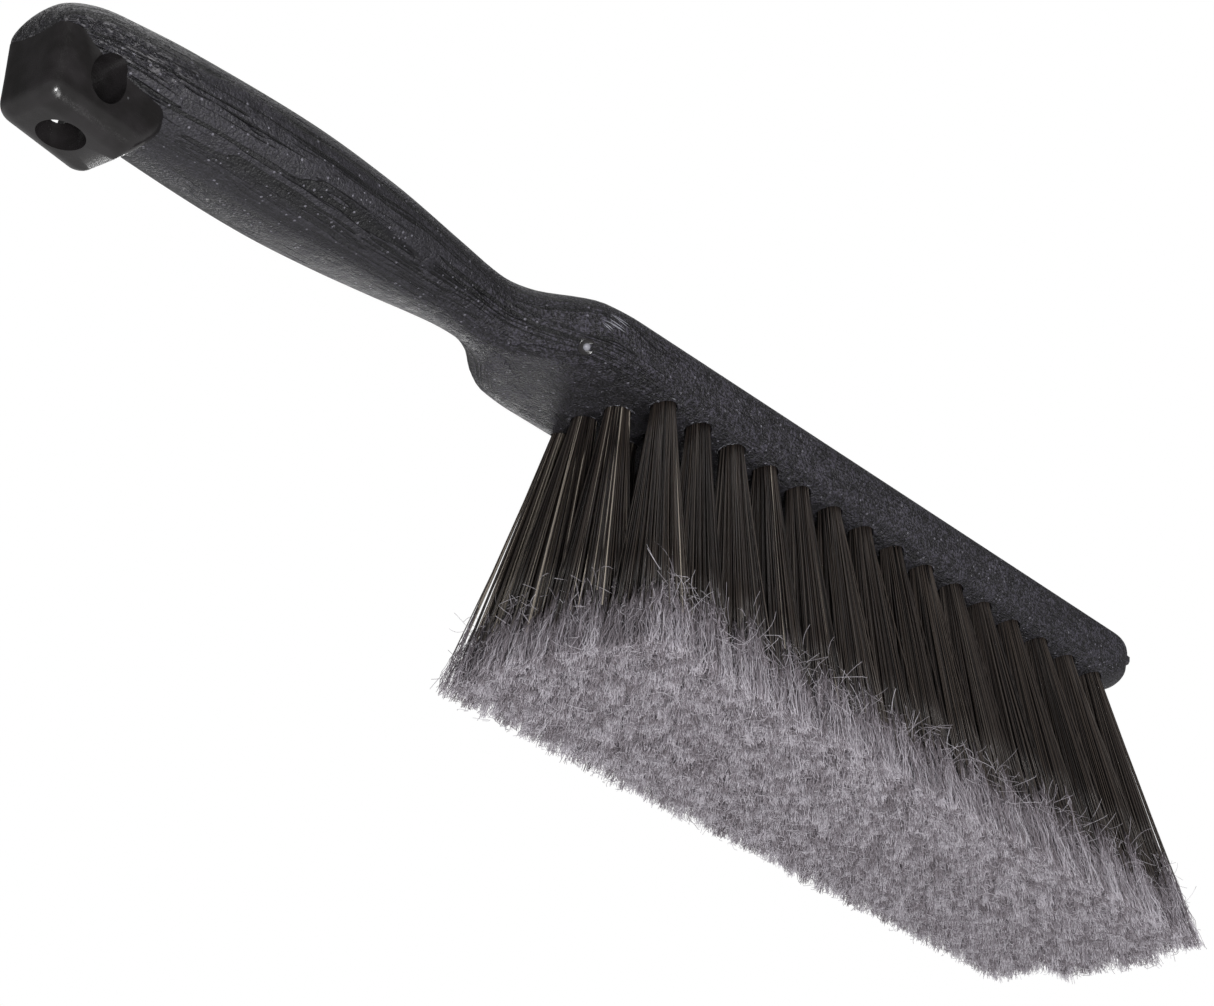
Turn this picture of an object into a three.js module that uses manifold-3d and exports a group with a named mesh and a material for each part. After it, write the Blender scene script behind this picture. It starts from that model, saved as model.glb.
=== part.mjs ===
// Counter brush: a moulded plastic block and handle with four rows of filament tufts.
// Millimetres. +X runs from the handle's end to the block's far end and +Z is up.
// Y = 0 is the mirror plane, Z = 0 the plane of the trimmed bristle tips, X = 0 the middle of the length.
import * as THREE from "three";
import { mergeVertices } from "three/addons/utils/BufferGeometryUtils.js";
import Module from "manifold-3d";

// ---- Driving dimensions ----
const OVERALL_LENGTH = 374.5; // from the handle's end to the furthest tips
const BODY_LENGTH = 355.5; // block and handle together
const TRIM = 63.5; // bristle length outside the block
const BLOCK_HALF_WIDTH = 20.6;
const BLOCK_THICKNESS = 14.4;
const TOP_FILLET = 4.5;
const LOWER_ROUND = { width: 6.5, height: 4.5 }; // the block's rounded lower edge
const SIDE_DRAFT = 0.06; // how much narrower the block's underside is than its top, as a share
const FAR_CORNER = 13.5; // plan radius of the block's far corners
const FAR_LIFT = { length: 17, height: 9.2 }; // how the underside rises to the block's far end
const HANDLE_ROUND = { length: 13.5, drop: 6.7, lift: 3, narrowing: 0.16 }; // how its end rounds off

const TUFT_PITCH = 12;
const ROW_SPACING = 9.7;
const OUTER_TUFTS = 15;
const INNER_TUFTS = 14;
const INNER_LEAD = 4; // how far the inner rows run past the outer rows at each end
const TUFT_RADIUS = 2.8;
const HOLE_DEPTH = 9.3;
const GAP = 0.3; // clearance between a tuft and its hole, and between neighbouring tips
const TIPS_HALF_WIDTH = 31.4;
const TIPS_NEAR = 13.8; // how far the outer rows' tips splay past their first tuft, towards the handle
const TIPS_FAR = 30.7; // how far they splay past the last one
const TIPS_BOW = { near: 3, far: 5.5 }; // how much further the inner rows' tips reach at each end

const LATERAL_HOLE = { x: 12, z: -0.1, halfLength: 4.2, halfHeight: 5 }; // x from the handle's end
const VERTICAL_HOLE = { x: 10.4, radius: 4.9 };
const LUG = { length: 27.5, endHalf: 8.5, innerHalf: 9.4, corner: 3.5 };
const LUG_DROP = { end: 9.4, inner: 11.8 }; // how far the lug hangs below the underside
const LUG_RISE = 7.1; // how far it runs up into the handle
const LUG_FLARE = 0.1; // how much wider it is at its top than lower down, as a share
const LUG_ROUND = { end: 2.2, across: 4.2, height: 4.2 }; // its rounded lower edges
const LUG_HEEL = { length: 6.5, height: 9, curve: 1.3 }; // how its inner end slopes up to the handle

// ---- Derived places ----
const HANDLE_END = -OVERALL_LENGTH / 2;
const BLOCK_END = HANDLE_END + BODY_LENGTH;
const UNDERSIDE = TRIM;
const ROWS_LENGTH = TUFT_PITCH * (OUTER_TUFTS - 1);
const FIRST_TUFT = OVERALL_LENGTH / 2 - TIPS_BOW.far - TIPS_FAR - ROWS_LENGTH;
const LAST_TUFT = FIRST_TUFT + ROWS_LENGTH;

// The body's outline, each as [distance from the first tuft, size]. Heights are from the underside.
const HALF_WIDTHS = [
  [-170, 9.6], [-160, 11.6], [-140, 14.7], [-112, 16.2], [-85, 14.5], [-60, 10.6],
  [-46, 8.9], [-38, 11.3], [-30, 16.8], [-24, 19.6], [-15, BLOCK_HALF_WIDTH], [186, BLOCK_HALF_WIDTH],
];
const CROWN = [
  [-170, 16.8], [-140, 18.3], [-105, 18.8], [-70, 17.3], [-48, 15.6],
  [-25, BLOCK_THICKNESS], [186, BLOCK_THICKNESS],
];
const KEEL = [[-170, 1.1], [-140, -2.8], [-105, -3], [-70, -1], [-50, 0.5], [-30, 0], [186, 0]];
const NECK_TO_BLOCK = [-44, -26]; // where the oval handle squares up into the block

const CORNER_STEPS = 5;
const TUFT_SIDES = 10;
const HOLE_SIDES = 18;

const wasm = await Module();
wasm.setup();

// ---- Helpers ----

// A smooth function through [x, value] points that never swings past them.
function smoothThrough(points) {
  const slopes = points.map((p, i) => {
    if (i === 0 || i === points.length - 1) return 0;
    const before = (p[1] - points[i - 1][1]) / (p[0] - points[i - 1][0]);
    const after = (points[i + 1][1] - p[1]) / (points[i + 1][0] - p[0]);
    return before * after <= 0 ? 0 : (2 * before * after) / (before + after);
  });
  return (x) => {
    const last = points.length - 2;
    let i = 0;
    while (i < last && x > points[i + 1][0]) i += 1;
    const span = points[i + 1][0] - points[i][0];
    const t = THREE.MathUtils.clamp((x - points[i][0]) / span, 0, 1);
    const rise = points[i + 1][1] - points[i][1];
    return points[i][1] + t * t * (3 - 2 * t) * rise
      + span * t * (1 - t) * ((1 - t) * slopes[i] - t * slopes[i + 1]);
  };
}

// A closed solid through rings of as many points each, counter-clockwise about the way they go.
function loft(rings) {
  const count = rings[0].length;
  const middle = (ring) => ring.reduce((sum, p) => sum.add(p), new THREE.Vector3()).divideScalar(count);
  const points = [...rings.flat(), middle(rings[0]), middle(rings.at(-1))];
  const index = [];
  const lastRing = (rings.length - 1) * count;
  const startCap = rings.length * count;
  for (let i = 0; i < count; i += 1) {
    const j = (i + 1) % count;
    for (let k = 0; k < lastRing; k += count) {
      index.push(k + i, k + j, k + count + i, k + j, k + count + j, k + count + i);
    }
    index.push(startCap, j, i, startCap + 1, lastRing + i, lastRing + j);
  }
  return new THREE.BufferGeometry().setFromPoints(points).setIndex(index);
}

function solid(geometry) {
  const bare = geometry.clone();
  bare.deleteAttribute("normal");
  bare.deleteAttribute("uv");
  const merged = mergeVertices(bare, 1e-4);
  return new wasm.Manifold(
    new wasm.Mesh({
      numProp: 3,
      vertProperties: merged.attributes.position.array,
      triVerts: new Uint32Array(merged.index.array),
    }),
  );
}

function geometryOf(manifold) {
  const mesh = manifold.getMesh();
  const geometry = new THREE.BufferGeometry();
  geometry.setAttribute("position", new THREE.BufferAttribute(mesh.vertProperties, 3));
  geometry.setIndex(new THREE.BufferAttribute(mesh.triVerts, 1));
  geometry.computeVertexNormals();
  return geometry;
}

// ---- Block and handle ----

const halfWidthAt = smoothThrough(HALF_WIDTHS);
const crownAt = smoothThrough(CROWN);
const keelAt = smoothThrough(KEEL);

// How far a quarter circle of this radius has fallen away at the given distance from its end.
function roundOff(distance, radius) {
  const t = THREE.MathUtils.clamp(distance / radius, 0, 1);
  return radius * (1 - Math.sqrt(1 - (1 - t) ** 2));
}

// The section at x as a ring: an oval on the handle that squares up into the block.
function bodyRing(x) {
  const along = x - FIRST_TUFT;
  const blockness = THREE.MathUtils.smoothstep(along, ...NECK_TO_BLOCK);
  const toFar = BLOCK_END - x;
  const endShare = roundOff(x - HANDLE_END, HANDLE_ROUND.length) / HANDLE_ROUND.length;
  const farShare = roundOff(toFar, FAR_LIFT.length) / FAR_LIFT.length;
  const narrowing = 1 - HANDLE_ROUND.narrowing * endShare;
  const width = (halfWidthAt(along) - roundOff(toFar, FAR_CORNER)) * narrowing;
  const top = UNDERSIDE + crownAt(along) - roundOff(toFar, TOP_FILLET) - HANDLE_ROUND.drop * endShare;
  const bottom = UNDERSIDE + keelAt(along) + FAR_LIFT.height * farShare + HANDLE_ROUND.lift * endShare;
  const half = (top - bottom) / 2;
  const upper = { width: TOP_FILLET, height: Math.min(TOP_FILLET, half * 0.9) };
  const lower = {
    width: Math.min(LOWER_ROUND.width, width * 0.9),
    height: Math.min(LOWER_ROUND.height, half * 0.9),
  };
  const corners = [
    { y: 1, z: -1, round: lower },
    { y: 1, z: 1, round: upper },
    { y: -1, z: 1, round: upper },
    { y: -1, z: -1, round: lower },
  ];
  return corners.flatMap((corner, quarter) => {
    const ry = THREE.MathUtils.lerp(width * 0.97, corner.round.width, blockness);
    const rz = THREE.MathUtils.lerp(half * 0.97, corner.round.height, blockness);
    return Array.from({ length: CORNER_STEPS + 1 }, (_, i) => {
      const angle = (Math.PI / 2) * (quarter - 1 + i / CORNER_STEPS);
      const y = corner.y * (width - ry) + ry * Math.cos(angle);
      const z = (top + bottom) / 2 + corner.z * (half - rz) + rz * Math.sin(angle);
      return new THREE.Vector3(x, y * (1 - (SIDE_DRAFT * blockness * (top - z)) / (top - bottom)), z);
    });
  });
}

// Section places: close together where the outline turns.
function bodyStations() {
  const turn = (i) => 1 - Math.cos((Math.PI / 10) * i);
  const stations = [0, 1, 2, 3, 4].map((i) => HANDLE_END + HANDLE_ROUND.length * turn(i));
  for (let x = HANDLE_END + HANDLE_ROUND.length; x < FIRST_TUFT - 48; x += 9) stations.push(x);
  for (let x = FIRST_TUFT - 46; x < FIRST_TUFT - 10; x += 3) stations.push(x);
  stations.push(FIRST_TUFT);
  for (const i of [5, 4, 3, 2, 1, 0]) stations.push(BLOCK_END - FAR_CORNER * turn(i));
  return stations;
}

// A level ring of the lug, at a height above its bottom.
function lugRing(height) {
  const { length, endHalf, innerHalf, corner } = LUG;
  const deep = LUG_RISE + LUG_DROP.end;
  const flare = 1 + (LUG_FLARE * height) / deep;
  const halfAt = (x) => THREE.MathUtils.lerp(endHalf, innerHalf, x / length) * flare;
  const drawn = roundOff(height, LUG_ROUND.height) / LUG_ROUND.height;
  const heel = LUG_HEEL.length * Math.max(1 - height / LUG_HEEL.height, 0) ** LUG_HEEL.curve;
  const corners = [
    { x: corner, side: -1, start: 180 },
    { x: length - corner, side: -1, start: 270 },
    { x: length - corner, side: 1, start: 0 },
    { x: corner, side: 1, start: 90 },
  ];
  return corners.flatMap((at) =>
    Array.from({ length: CORNER_STEPS }, (_, i) => {
      const angle = THREE.MathUtils.degToRad(at.start + (90 * i) / (CORNER_STEPS - 1));
      const x = at.x + corner * Math.cos(angle);
      const y = at.side * (halfAt(x) - corner) + corner * Math.sin(angle);
      const inX = THREE.MathUtils.lerp(LUG_ROUND.end * drawn, length - heel, x / length);
      const inY = y * (1 - (LUG_ROUND.across * drawn) / halfAt(x));
      const drop = LUG_DROP.end + ((LUG_DROP.inner - LUG_DROP.end) * inX) / length;
      return new THREE.Vector3(HANDLE_END + inX, inY, UNDERSIDE - drop + height);
    }),
  );
}

// The smooth hanging lug under the handle's end: it widens inwards and upwards, and its inner end slopes.
function lugGeometry() {
  const rounded = [0, 22.5, 45, 67.5, 90].map((degrees) => {
    return LUG_ROUND.height * (1 - Math.cos(THREE.MathUtils.degToRad(degrees)));
  });
  const sloped = [6, 7.5, LUG_HEEL.height, LUG_RISE + LUG_DROP.end];
  return loft([...rounded, ...sloped].map(lugRing));
}

// ---- Tufts ----

const OUTER = { count: OUTER_TUFTS, lead: 0, bow: { near: 0, far: 0 } };
const INNER = { count: INNER_TUFTS, lead: INNER_LEAD, bow: TIPS_BOW };
const ROWS = [
  { name: "tuft_near", place: -1.5, ...OUTER },
  { name: "tuft_inner_near", place: -0.5, ...INNER },
  { name: "tuft_inner_far", place: 0.5, ...INNER },
  { name: "tuft_far", place: 1.5, ...OUTER },
];

// Every tuft's place: its centre at the underside, and the centre and half-sizes of its share of the tips.
function tuftPlaces() {
  const tipDepth = (2 * TIPS_HALF_WIDTH) / ROWS.length;
  return ROWS.flatMap((row) => {
    const pitch = (ROWS_LENGTH + 2 * row.lead) / (row.count - 1);
    const tipsStart = FIRST_TUFT - TIPS_NEAR - row.bow.near;
    const tipsEnd = LAST_TUFT + TIPS_FAR + row.bow.far;
    const tipPitch = (tipsEnd - tipsStart) / row.count;
    return Array.from({ length: row.count }, (_, i) => ({
      name: `${row.name}_${String(i + 1).padStart(2, "0")}`,
      root: new THREE.Vector3(FIRST_TUFT - row.lead + pitch * i, row.place * ROW_SPACING, UNDERSIDE),
      tip: new THREE.Vector3(tipsStart + tipPitch * (i + 0.5), row.place * tipDepth, 0),
      tipHalf: [(tipPitch - GAP) / 2, (tipDepth - GAP) / 2],
    }));
  });
}

// A level ring about centre, round or squared off towards a rectangle as power falls from 1 to 0.
function levelRing(centre, halfX, halfY, power) {
  const bend = (value) => Math.sign(value) * Math.abs(value) ** power;
  return Array.from({ length: TUFT_SIDES }, (_, i) => {
    const angle = (2 * Math.PI * (i + 0.5)) / TUFT_SIDES;
    return new THREE.Vector3(
      centre.x + halfX * bend(Math.cos(angle)),
      centre.y + halfY * bend(Math.sin(angle)),
      centre.z,
    );
  });
}

// The point on a tuft's axis at a height.
function onAxis(place, z) {
  return place.tip.clone().lerp(place.root, z / UNDERSIDE);
}

function tuftGeometry(place) {
  const top = onAxis(place, UNDERSIDE + HOLE_DEPTH - GAP);
  return loft([
    levelRing(place.tip, ...place.tipHalf, 0.6),
    levelRing(place.root, TUFT_RADIUS, TUFT_RADIUS, 1),
    levelRing(top, TUFT_RADIUS, TUFT_RADIUS, 1),
  ]);
}

function tuftHole(place) {
  const radius = TUFT_RADIUS + GAP;
  return loft([
    levelRing(onAxis(place, UNDERSIDE - 2), radius, radius, 1),
    levelRing(onAxis(place, UNDERSIDE + HOLE_DEPTH), radius, radius, 1),
  ]);
}

// A round bar for cutting a hole, of unit radius, standing along Y.
function cuttingBar(length) {
  return new THREE.CylinderGeometry(1, 1, length, HOLE_SIDES);
}

function bodyGeometry(places) {
  const lateral = cuttingBar(60)
    .scale(LATERAL_HOLE.halfLength, 1, LATERAL_HOLE.halfHeight)
    .translate(HANDLE_END + LATERAL_HOLE.x, 0, UNDERSIDE + LATERAL_HOLE.z);
  const depth = LUG_DROP.inner + 10;
  const vertical = cuttingBar(depth)
    .scale(VERTICAL_HOLE.radius, 1, VERTICAL_HOLE.radius)
    .rotateX(Math.PI / 2)
    .translate(HANDLE_END + VERTICAL_HOLE.x, 0, UNDERSIDE + LATERAL_HOLE.z - depth / 2);
  const cuts = [lateral, vertical, ...places.map(tuftHole)];
  const uncut = solid(loft(bodyStations().map(bodyRing))).add(solid(lugGeometry()));
  return geometryOf(cuts.reduce((body, cut) => body.subtract(solid(cut)), uncut));
}

// ---- Assembly ----

const brush = new THREE.Group();
const places = tuftPlaces();

const bodyPlastic = new THREE.MeshStandardMaterial({ color: 0x232326, roughness: 0.5, metalness: 0 });
const block = new THREE.Mesh(bodyGeometry(places), bodyPlastic);
block.name = "block_handle";
brush.add(block);

for (const place of places) {
  const filament = new THREE.MeshStandardMaterial({ color: 0x3a3531, roughness: 0.6, metalness: 0 });
  const tuft = new THREE.Mesh(tuftGeometry(place), filament);
  tuft.name = place.name;
  brush.add(tuft);
}

export default brush;
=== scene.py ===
"""A counter brush: moulded plastic block and handle, four rows of filament tufts with frayed tips.

Sizes are in millimetres in the part's own frame and become metres where a mesh is made.
"""
import math

import bpy
import numpy as np
from mathutils import Euler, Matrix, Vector
from mathutils.bvhtree import BVHTree


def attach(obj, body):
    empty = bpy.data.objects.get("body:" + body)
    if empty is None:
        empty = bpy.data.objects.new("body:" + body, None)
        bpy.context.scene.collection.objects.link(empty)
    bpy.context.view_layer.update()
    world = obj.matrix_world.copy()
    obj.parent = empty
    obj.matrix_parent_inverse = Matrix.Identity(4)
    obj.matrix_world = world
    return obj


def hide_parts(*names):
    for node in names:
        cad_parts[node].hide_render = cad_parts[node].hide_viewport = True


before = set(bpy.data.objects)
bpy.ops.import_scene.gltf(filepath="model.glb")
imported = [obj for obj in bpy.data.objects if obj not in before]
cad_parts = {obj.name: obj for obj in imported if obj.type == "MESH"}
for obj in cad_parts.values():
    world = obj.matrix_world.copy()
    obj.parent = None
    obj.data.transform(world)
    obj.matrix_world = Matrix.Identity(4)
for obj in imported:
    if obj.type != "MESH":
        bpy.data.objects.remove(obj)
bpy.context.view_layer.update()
rng = np.random.default_rng(20)

MM = 0.001

# ---- The body's dimensions, as in the part's source ----
OVERALL_LENGTH = 374.5
BODY_LENGTH = 355.5
UNDERSIDE = 63.5
BLOCK_HALF_WIDTH = 20.6
BLOCK_THICKNESS = 14.4
TOP_FILLET = 4.5
LOWER_ROUND = (6.5, 4.5)  # across and up
SIDE_DRAFT = 0.06
FAR_CORNER = 13.5
FAR_LIFT = (17.0, 9.2)  # how long and how high the underside curves up to the far end
HANDLE_ROUND = {"length": 13.5, "drop": 6.7, "lift": 3.0, "narrowing": 0.16}

TUFT_PITCH = 12.0
ROW_SPACING = 9.7
OUTER_TUFTS = 15
INNER_TUFTS = 14
INNER_LEAD = 4.0
TUFT_RADIUS = 2.8
HOLE_DEPTH = 9.3
GAP = 0.3
TIPS_HALF_WIDTH = 31.4
TIPS_NEAR = 13.8
TIPS_FAR = 30.7
TIPS_BOW = (3.0, 5.5)  # how much further the inner rows' tips reach, near and far

LATERAL_HOLE = {"x": 12.0, "z": -0.1, "half_length": 4.2, "half_height": 5.0}
VERTICAL_HOLE = {"x": 10.4, "radius": 4.9}
LUG = {"length": 27.5, "end_half": 8.5, "inner_half": 9.4, "corner": 3.5}
LUG_DROP = (9.4, 11.8)  # at its outer and its inner end
LUG_RISE = 7.1
LUG_FLARE = 0.1
LUG_ROUND = {"end": 2.2, "across": 4.2, "height": 4.2}
LUG_HEEL = {"length": 6.5, "height": 9.0, "curve": 1.3}

HANDLE_END = -OVERALL_LENGTH / 2
BLOCK_END = HANDLE_END + BODY_LENGTH
ROWS_LENGTH = TUFT_PITCH * (OUTER_TUFTS - 1)
FIRST_TUFT = OVERALL_LENGTH / 2 - TIPS_BOW[1] - TIPS_FAR - ROWS_LENGTH
LAST_TUFT = FIRST_TUFT + ROWS_LENGTH

# Each is a list of (place along X from the first tuft, value), with heights from the underside.
HALF_WIDTHS = [
    (-170, 9.6), (-160, 11.6), (-140, 14.7), (-112, 16.2), (-85, 14.5), (-60, 10.6), (-46, 8.9),
    (-38, 11.3), (-30, 16.8), (-24, 19.6), (-15, BLOCK_HALF_WIDTH), (186, BLOCK_HALF_WIDTH),
]
CROWN = [
    (-170, 16.8), (-140, 18.3), (-105, 18.8), (-70, 17.3), (-48, 15.6),
    (-25, BLOCK_THICKNESS), (186, BLOCK_THICKNESS),
]
KEEL = [(-170, 1.1), (-140, -2.8), (-105, -3), (-70, -1), (-50, 0.5), (-30, 0), (186, 0)]
NECK_TO_BLOCK = (-44, -26)
GRIP_ROUND = 0.97  # the oval grip's corner radii, as a share of its half-sizes
LARGEST_ROUND = 0.9  # the most of a half-size that a corner radius may take

# ---- What only the visual model has ----
END_RIM = {"length": 3.0, "inset": 2.0}  # how the handle's end face rounds into its side
FILAMENTS = 200  # in a tuft
FIBRILS = 6  # that one filament frays into
FILAMENT_RADIUS = 0.15
FIBRIL_RADIUS = 0.072
FLAGGED = (11.0, 20.0)  # how far above the tips the filaments fray
CLUMPS = 60  # that a tuft's frayed ends gather into
CLUMP_TRIM = 0.9  # how unevenly the clumps are trimmed
SHORT_FIBRILS = 0.12  # the share that end above the trim
FLUFF = 150  # short curls among a tuft's frayed ends
PEAK = 6.0  # how much higher the frayed band reaches at a tuft's middle than at its sides
LOCKS = 9  # groups of a tuft's filaments that fray at about the same height
TIPS_REACH = TIPS_HALF_WIDTH + 1.6  # the furthest that a strand stands out sideways
STRAND_SIDES = 3
FIBRIL_POINTS = 7
CURL_POINTS = 6
LOCK_SPREAD = 1.4  # how unevenly the locks fray
TIP_SPREAD = (1.02, 0.05)  # of a tuft's filaments over its share of the tips, and its unevenness
FAN = 0.82  # how far the filaments spread in a straight line, and the rest in a curve
SWAY = 0.35  # how far they bow sideways
FOOT_SPREAD = 0.9  # how far the fibrils of one filament part
CLUMP_REACH = 1.04  # of the clumps over the tuft's share of the tips
CLUMP_PULL = (0.1, 0.5)  # how far a fibril leans to its clump
TRIM_SPREAD = 0.35
CRIMP = (0.25, 0.75)
CRIMP_TURNS = (6, 19)  # radians of crimp along a fibril
TIP_CURLS = 140  # small curls on a tuft's tips
FRIZZ = 36  # longer strands standing out of an outer tuft
FLUFF_SHAPE = {"band": (0.2, 12.0), "lengths": (1.5, 4.0), "curl": 0.35}
TIP_CURL_SHAPE = {"band": (0.1, 2.0), "lengths": (0.8, 2.6), "curl": 0.5}
FRIZZ_SHAPE = {"band": (9.0, 20.0), "curl": 0.16}
FRIZZ_LENGTHS = {"along_row": (2.0, 9.0), "row_end": (2.0, 5.0)}
STRAYS = 3  # filaments that splay past the block's far end, in each end tuft
STRAY_REACH = (1.15, 1.65)  # in half-sizes of the tuft's tips
LOOSE = {"share": 0.025, "spread": 0.5, "reach": 1.2}  # filaments that stand out of their tuft
SHAFT_HEIGHTS = (6.0, 0.0, -16.0, -34.0)  # from the underside, of the points along a filament
BURRS = 1  # slivers on a tuft hole's rim
RAGGED_BURRS = 12  # slivers on the rims of the first holes
RAGGED_HOLES = 28.0  # how far past the first tuft those holes reach
FLASH = {
    "turn": -47.5,  # degrees round the block's far near-side corner
    "rise": 9.6,
    "half_width": 0.9,
    "half_height": 0.6,
    "proud": 0.35,
    "sunk": 1.5,
    "flare": 2.3,  # how many times as wide it is where it is sunk
}
MOULD_MARK = {"place": (-44.5, -15.6, 66.0), "facing": (-0.32, -0.71, -0.63), "radius": 1.9}
MARK_RING = [(1.0, -0.8), (1.0, 0.05), (0.93, 0.1), (0.86, 0.0), (0.3, 0.0)]  # share of the radius, height
# the mould mark's pale dome, a painted highlight
MARK_HIGHLIGHT_DOME = [(0.46, -0.3), (0.41, 0.12), (0.32, 0.28), (0.17, 0.37), (0.03, 0.4)]
SCRATCHES = {"middle": (-40.0, 72.2), "run": (5.5, -1.0), "step": (0.5, 0.62), "count": 7}  # x and z
SCRATCH_THICKNESS = 2.2  # in slivers' thicknesses
SLIVER_RADII = (0.02, 0.06, 0.09, 0.06, 0.02)

# ---- Colours, linear ----
HANDLE_TONES = (0.016, 0.015, 0.019, 1), (0.036, 0.034, 0.043, 1)
BLOCK_TONES = (0.007, 0.006, 0.008, 1), (0.062, 0.057, 0.077, 1)
CRUST_COLOUR = (0.15, 0.145, 0.155, 1)
GRAIN_COLOUR = (0.002, 0.002, 0.0025, 1)
# painted shade: the dark that the skin among the tuft roots is blended towards
TUFT_SHADE_COLOUR = (0.006, 0.006, 0.006, 1)
SPECK_COLOUR = (0.30, 0.29, 0.34, 1)
LUG_TONES = (0.010, 0.009, 0.009, 1), (0.020, 0.018, 0.019, 1)
LUG_SPECK_COLOUR = (0.13, 0.13, 0.14, 1)
# pale plastic of the burrs and scratches, also used for the painted highlight on the mould mark
BURR_AND_HIGHLIGHT_COLOUR = (0.23, 0.23, 0.26, 1)
FLOOR_TONES = (0.80, 0.80, 0.80, 1), (0.84, 0.84, 0.84, 1)
WHITE = (1, 1, 1, 1)

# ---- Depths of the moulded texture, in metres ----
SKIN_DEPTH = 0.0010
CRUST_DEPTH = 0.0022
GRAIN_DEPTH = 0.0011
LUG_SKIN_DEPTH = 0.0003
BURR_DEPTH = 0.0001
STREAK_DEPTH = 0.00004

# ---- Camera and light ----
CAMERA_PLACE = (-514.25, -465.53, -275.66)
CAMERA_TURN = (115.301, -5.663, -49.616)  # degrees about X, Y and Z
CAMERA_LENS = 102.47
LIGHTS = [  # name, place in metres, power in watts, side in metres
    ("key", (-0.75, -0.8, 1.5), 9, 0.8),
    ("front_low", (-0.9, -1.1, -0.75), 16, 0.25),
    ("neck_low", (-0.2, -1.1, -1.1), 8, 0.6),
    ("rim", (1.1, 1.15, 0.1), 4, 0.35),
    ("top", (0.3, 0.5, 1.4), 5, 1.2),
]
LIGHTS_FACE = (0.0, 0.0, 0.045)  # metres
WORLD_STRENGTH = {"below": 0.46, "above": 0.10, "fades_by": 0.45}
FLOOR_HALF = 4000.0
FLOOR_DROP = 0.0002  # metres below the tips
FLOOR_GLOW = 0.22  # a faint light of its own, which keeps it pale


def make_camera():
    """The main view, from below, off the handle's end and the near side."""
    data = bpy.data.cameras.new("camera")
    data.sensor_width = 36.0
    data.sensor_fit = "HORIZONTAL"
    data.lens = CAMERA_LENS
    data.clip_start = 0.01
    data.clip_end = 20.0
    camera = bpy.data.objects.new("camera", data)
    camera.location = Vector(CAMERA_PLACE) * MM
    camera.rotation_euler = Euler([math.radians(a) for a in CAMERA_TURN], "XYZ")
    bpy.context.collection.objects.link(camera)
    bpy.context.scene.camera = camera


make_camera()


# ---- Node helpers ----


def new_material(name):
    material = bpy.data.materials.new(name)
    material.use_nodes = True
    tree = material.node_tree
    shader = next(n for n in tree.nodes if n.type == "BSDF_PRINCIPLED")
    return material, tree, shader


def add_node(tree, kind, inputs=None, **settings):
    """Makes a node, sets its properties, then its inputs from values or from other nodes' outputs."""
    node = tree.nodes.new(kind)
    for key, value in settings.items():
        setattr(node, key, value)
    for key, value in (inputs or {}).items():
        if isinstance(value, bpy.types.NodeSocket):
            tree.links.new(value, node.inputs[key])
        else:
            node.inputs[key].default_value = value
    return node


def noise(tree, vector, scale, detail=3.0, roughness=0.5, distortion=0.0):
    inputs = {
        "Vector": vector, "Scale": scale, "Detail": detail, "Roughness": roughness, "Distortion": distortion,
    }
    return add_node(tree, "ShaderNodeTexNoise", inputs).outputs["Fac"]


def stretch(tree, vector, scale):
    return add_node(tree, "ShaderNodeVectorMath", {0: vector, 1: scale}, operation="MULTIPLY").outputs[0]


def maths(tree, operation, a, b=0.0, c=0.0):
    return add_node(tree, "ShaderNodeMath", {0: a, 1: b, 2: c}, operation=operation).outputs[0]


def times(tree, a, b):
    return maths(tree, "MULTIPLY", a, b)


def own_place(tree):
    """Where a point is in the object's own frame, in metres."""
    return add_node(tree, "ShaderNodeTexCoord").outputs["Object"]


def own_place_mm(tree):
    return stretch(tree, own_place(tree), (1 / MM, 1 / MM, 1 / MM))


def remap(tree, value, low, high, to_low=0.0, to_high=1.0, smooth=False):
    inputs = {0: value, 1: low, 2: high, 3: to_low, 4: to_high}
    kind = "SMOOTHSTEP" if smooth else "LINEAR"
    return add_node(tree, "ShaderNodeMapRange", inputs, interpolation_type=kind).outputs[0]


def blend_colours(tree, share, a, b):
    node = add_node(tree, "ShaderNodeMix", data_type="RGBA")
    for socket, value in ((node.inputs[0], share), (node.inputs[6], a), (node.inputs[7], b)):
        if isinstance(value, bpy.types.NodeSocket):
            tree.links.new(value, socket)
        else:
            socket.default_value = value
    return node.outputs[2]


def bump(tree, height, strength, distance, normal=None):
    inputs = {"Height": height, "Strength": strength, "Distance": distance}
    if normal is not None:
        inputs["Normal"] = normal
    return add_node(tree, "ShaderNodeBump", inputs).outputs[0]


# ---- Materials ----


def flow_coordinates(tree):
    """The body's flow coordinates in millimetres: along it, and round it on a circle."""
    first = add_node(tree, "ShaderNodeUVMap", uv_map="flow_along").outputs[0]
    second = add_node(tree, "ShaderNodeUVMap", uv_map="flow_round").outputs[0]
    a = add_node(tree, "ShaderNodeSeparateXYZ", {0: first}).outputs
    b = add_node(tree, "ShaderNodeSeparateXYZ", {0: second}).outputs
    return add_node(tree, "ShaderNodeCombineXYZ", {0: a[0], 1: a[1], 2: b[0]}).outputs[0], a[0]


def mask(tree, value, none, full):
    """0 where value is at none, 1 where it is at full, and smooth between."""
    return remap(tree, value, none, full, smooth=True)


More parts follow.
